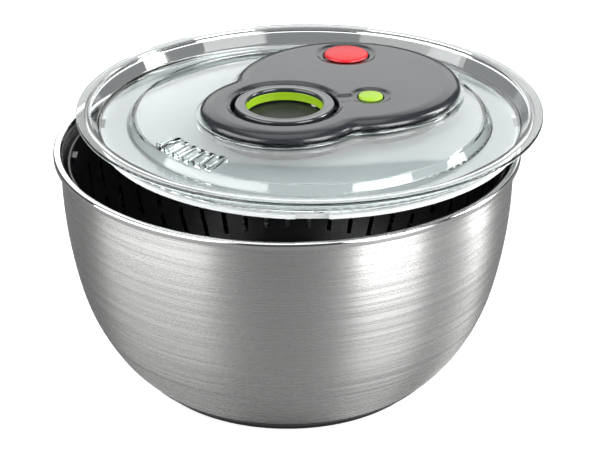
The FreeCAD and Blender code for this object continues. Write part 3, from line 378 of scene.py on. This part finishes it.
def softenCorners(corners, count=4):
    # closed outline of (radius, height, rounding): each corner becomes a short curve
    points = []
    for index, (across, up, rounding) in enumerate(corners):
        here = Vector((across, up))
        before = Vector(corners[index - 1][:2])
        after = Vector(corners[(index + 1) % len(corners)][:2])
        if rounding == 0:
            points.append(tuple(here))
            continue
        first = here + (before - here).normalized() * min(rounding, (before - here).length * 0.48)
        last = here + (after - here).normalized() * min(rounding, (after - here).length * 0.48)
        for step in range(count + 1):
            part = step / count
            points.append(tuple(first * (1 - part) ** 2 + here * 2 * part * (1 - part) + last * part ** 2))
    return points


def spinPiece(name, profile, center=(0, 0), steps=128):
    # one vertex is drawn out along the profile, in millimetres, and turned round the axis
    bpy.ops.object.select_all(action="DESELECT")
    bpy.ops.mesh.primitive_plane_add(size=mm, location=(0, 0, 0))
    piece = bpy.context.object
    piece.name = name
    bpy.ops.object.mode_set(mode="EDIT")
    bpy.ops.mesh.select_all(action="SELECT")
    bpy.ops.mesh.merge(type="CENTER")
    bpy.ops.transform.translate(value=(center[0] + profile[0][0] * mm, center[1], profile[0][1] * mm))
    for here, there in zip(profile, profile[1:]):
        stride = ((there[0] - here[0]) * mm, 0, (there[1] - here[1]) * mm)
        bpy.ops.mesh.extrude_region_move(TRANSFORM_OT_translate={"value": stride})
    bpy.ops.mesh.select_all(action="SELECT")
    bpy.ops.mesh.spin(steps=steps, angle=2 * math.pi, center=(*center, 0), axis=(0, 0, 1))
    bpy.ops.mesh.select_all(action="SELECT")
    bpy.ops.mesh.remove_doubles(threshold=0.000004)
    bpy.ops.mesh.normals_make_consistent(inside=False)
    bpy.ops.object.mode_set(mode="OBJECT")
    bpy.ops.object.shade_smooth_by_angle(angle=math.radians(40))
    return piece


def finishPiece(piece, body, slot, *replaced, materials):
    for material in materials:
        piece.data.materials.append(material)
    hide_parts(*replaced)
    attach(piece, body)
    return piece


# bowl: brushed wall, polished rim

bowl = {
    "radius": 128.7, "height": 140.5, "sheet": 0.8, "overhang": 3.8, "floor": 3.0,
    "bossRadius": 7.0, "bossTop": 11.0, "steps": 224,
}
outerCurve = [(76.0, 3.0), (92.5, 8.0), (107.3, 26.0), (121.3, 60.0), (128.7, 125.0)]
outerArcs = (29.5, 66.9, 117.3, 277.0)
wall = [outerCurve[0]]
for start, finish, arc in zip(outerCurve, outerCurve[1:], outerArcs):
    wall += arcBetween(start, finish, arc, 10)
innerWall = []
for across, up in reversed(wall):
    inward = bowl["sheet"] * min(1, (up - bowl["floor"]) / 6 + 0.25)
    lift = bowl["sheet"] if up < 4 else 0.3 if up < 9 else 0
    innerWall.append((across - inward, up + lift))
rim = bowl["radius"] + bowl["overhang"]
top = bowl["height"]
rimCurl = softenCorners([
    (bowl["radius"], top - 3.0, 0),
    (bowl["radius"] + 0.1, top - 0.9, 0.8),
    (rim - 0.9, top - 0.9, 0.7),
    (rim - 0.8, top - 3.4, 0.15),
    (rim, top - 3.4, 0.15),
    (rim, top, 1.5),
    (bowl["radius"] - 0.4, top, 1.3),
    (bowl["radius"] - bowl["sheet"], top - 3.0, 0),
], 5)
bossInside = bowl["bossRadius"] - bowl["sheet"]
bossRoof = bowl["bossTop"] - bowl["sheet"]
bowlProfile = [(0, bossRoof), (bossInside, bossRoof), (bossInside, bowl["floor"])]
bowlProfile += wall + rimCurl + innerWall
bowlProfile += [
    (bowl["bossRadius"], bowl["floor"] + bowl["sheet"]),
    (bowl["bossRadius"], bowl["bossTop"] - 0.5),
    (bowl["bossRadius"] - 0.5, bowl["bossTop"]),
    (0, bowl["bossTop"]),
]
steelBowl = spinPiece("steelBowl", bowlProfile, steps=bowl["steps"])
for face in steelBowl.data.polygons:
    if face.center.z > (top - 2.9) * mm:
        face.material_index = 1
finishPiece(steelBowl, "bowl", "steel", "bowl", materials=(steel, polishedSteel))
print("bowl ready")


# housing: the CAD shape with its edges softened

housing = {"voxel": 0.85, "smooth": 5, "strength": 0.5, "wellLevel": 2.0, "wellReach": 30.4}


def mergedCopy(node, name):
    bpy.ops.object.select_all(action="DESELECT")
    piece = nodes[node].copy()
    piece.data = nodes[node].data.copy()
    piece.parent = None
    piece.name = name
    for key in list(piece.keys()):
        del piece[key]
    piece.data.materials.clear()
    bpy.context.collection.objects.link(piece)
    piece.select_set(True)
    bpy.context.view_layer.objects.active = piece
    bpy.ops.object.mode_set(mode="EDIT")
    bpy.ops.mesh.select_all(action="SELECT")
    bpy.ops.mesh.remove_doubles(threshold=0.000002)
    bpy.ops.object.mode_set(mode="OBJECT")
    return piece


def softenedCopy(node, name, look):
    piece = mergedCopy(node, name)
    remesh = piece.modifiers.new("voxels", "REMESH")
    remesh.mode = "VOXEL"
    remesh.voxel_size = look["voxel"] * mm
    relax = piece.modifiers.new("relax", "SMOOTH")
    relax.iterations = look["smooth"]
    relax.factor = look["strength"]
    bpy.ops.object.modifier_apply(modifier="voxels")
    bpy.ops.object.modifier_apply(modifier="relax")
    bpy.ops.object.shade_smooth()
    return piece


softHousing = softenedCopy("drive_housing", "softHousing", housing)
# the well's walls and floor round the ring take the near-black matte finish: painted shade in the recess
ringMiddle = middleOf("handle_ring")
wellTop = topOf("drive_housing") - housing["wellLevel"] * mm
for face in softHousing.data.polygons:
    offAxis = math.hypot(face.center.x - ringMiddle[0], face.center.y - ringMiddle[1])
    if offAxis < housing["wellReach"] * mm and face.center.z < wellTop:
        face.material_index = 1
finishPiece(softHousing, "lid", "charcoal", "drive_housing", materials=(charcoal, innerBlackAndWellShade))
print("housing ready:", len(softHousing.data.polygons), "faces")


# pull ring, and both buttons

ring = {"outer": 27.8, "hole": 21.5, "grip": 23.6, "top": 6.0, "bottom": -1.5, "gripTop": 3.5}
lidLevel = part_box("handle_ring")[0][2] / mm - ring["bottom"]


def atLid(corners):
    return [(across, up + lidLevel, rounding) for across, up, rounding in corners]


def closedProfile(corners, count=5):
    points = softenCorners(atLid(corners), count)
    return points + [points[0]]


pullRing = spinPiece("pullRing", closedProfile([
    (ring["grip"], ring["bottom"], 0.2),
    (ring["outer"], ring["bottom"], 0.6),
    (ring["outer"], ring["top"], 1.4),
    ((ring["outer"] + ring["hole"]) / 2, ring["top"] - 0.25, 1.2),
    (ring["hole"], ring["top"], 1.3),
    (ring["hole"], ring["gripTop"], 0.3),
    (ring["grip"], ring["gripTop"], 0.1),
]), center=tuple(ringMiddle[:2]), steps=160)
finishPiece(pullRing, "handle", "charcoal", "handle_ring", materials=(ringGloss,))

ringGrip = spinPiece("ringGrip", closedProfile([
    (ring["hole"] + 0.1, ring["bottom"], 0.5),
    (ring["grip"] - 0.05, ring["bottom"], 0.1),
    (ring["grip"] - 0.05, ring["gripTop"] - 0.05, 0.1),
    (ring["hole"] + 0.1, ring["gripTop"] - 0.05, 0.5),
    (ring["hole"] + 0.45, (ring["bottom"] + ring["gripTop"]) / 2, 1.5),
]), center=tuple(ringMiddle[:2]), steps=160)
finishPiece(ringGrip, "handle", "green", "handle_grip", materials=(greenPlastic,))

redButton = {"radius": 13.05, "wall": 1.6, "skirt": 4.6, "top": 7.65, "stem": 2.42}
brakeMiddle = middleOf("brake_button")
brakeCap = spinPiece("brakeCap", [(across, up + lidLevel) for across, up in (
    [(redButton["stem"], redButton["skirt"]), (redButton["stem"] + 1.4, redButton["skirt"]),
     (redButton["stem"] + 1.4, 5.9), (redButton["radius"] - redButton["wall"], 5.2),
     (redButton["radius"] - redButton["wall"], redButton["skirt"]),
     (redButton["radius"] - 0.7, redButton["skirt"]),
     (redButton["radius"], redButton["skirt"] + 0.7),
     (redButton["radius"], 5.4)]
    + arcBetween((redButton["radius"], 5.4), (redButton["radius"] - 1.5, 6.75), 1.5, 6)
    + arcBetween((redButton["radius"] - 1.5, 6.75), (0, redButton["top"]), 78.0, 10)
    + [(0, 5.6), (redButton["stem"], 5.6), (redButton["stem"], redButton["skirt"])]
)], center=tuple(brakeMiddle[:2]), steps=112)
finishPiece(brakeCap, "brake", "red", "brake_button", materials=(redPlastic,))

# green button: slimmer than its hole by a hair, with the skirt's foot drawn in
greenButton = {"shrink": 0.975, "skirtTop": 4.4, "lift": 0.7, "skirtInner": 4.5}
catchMiddle = Vector(middleOf("catch_button")[:2])
catchCap = mergedCopy("catch_button", "catchCap")
for vertex in catchCap.data.vertices:
    reach = vertex.co.xy - catchMiddle
    if reach.length > greenButton["skirtInner"] * mm:
        vertex.co.xy = catchMiddle + reach * greenButton["shrink"]
        if vertex.co.z < (lidLevel + greenButton["skirtTop"]) * mm:
            vertex.co.z += greenButton["lift"] * mm
bpy.ops.object.shade_smooth_by_angle(angle=math.radians(40))
finishPiece(catchCap, "catch_button", "green", "catch_button", materials=(greenPlastic,))
print("ring and buttons ready")


# springs under the buttons: merged copies in spring steel, standing in for the CAD springs

for springNode, springName, button in (
    ("brake_spring", "brakeCoil", "brake"),
    ("catch_spring", "catchCoil", "catch_button"),
):
    coil = mergedCopy(springNode, springName)
    coil.data.materials.append(springSteel)
    across, along = middleOf(springNode)[:2]
    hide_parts(springNode)
    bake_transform(coil)
print("springs ready")


# short upright run of cord, cut into rows along its length

cord = {"radius": 0.7, "sides": 16, "rows": 40}
cordMiddle = middleOf("pull_cord")
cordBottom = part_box("pull_cord")[0][2]
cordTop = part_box("pull_cord")[1][2]
bpy.ops.object.select_all(action="DESELECT")
bpy.ops.mesh.primitive_cylinder_add(
    vertices=cord["sides"], radius=cord["radius"] * mm, depth=cordTop - cordBottom, location=cordMiddle)
uprightCord = bpy.context.object
uprightCord.name = "uprightCord"
bpy.ops.object.transform_apply(location=True, rotation=True, scale=True)
bpy.ops.object.mode_set(mode="EDIT")
for row in range(1, cord["rows"]):
    bpy.ops.mesh.select_all(action="SELECT")
    level = cordBottom + (cordTop - cordBottom) * row / cord["rows"]
    bpy.ops.mesh.bisect(plane_co=(cordMiddle[0], cordMiddle[1], level), plane_no=(0, 0, 1))
bpy.ops.object.mode_set(mode="OBJECT")
bpy.ops.object.shade_smooth_by_angle(angle=math.radians(40))
uprightCord.data.materials.append(cordBraid)
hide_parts("pull_cord")
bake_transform(uprightCord)
print("cord ready")
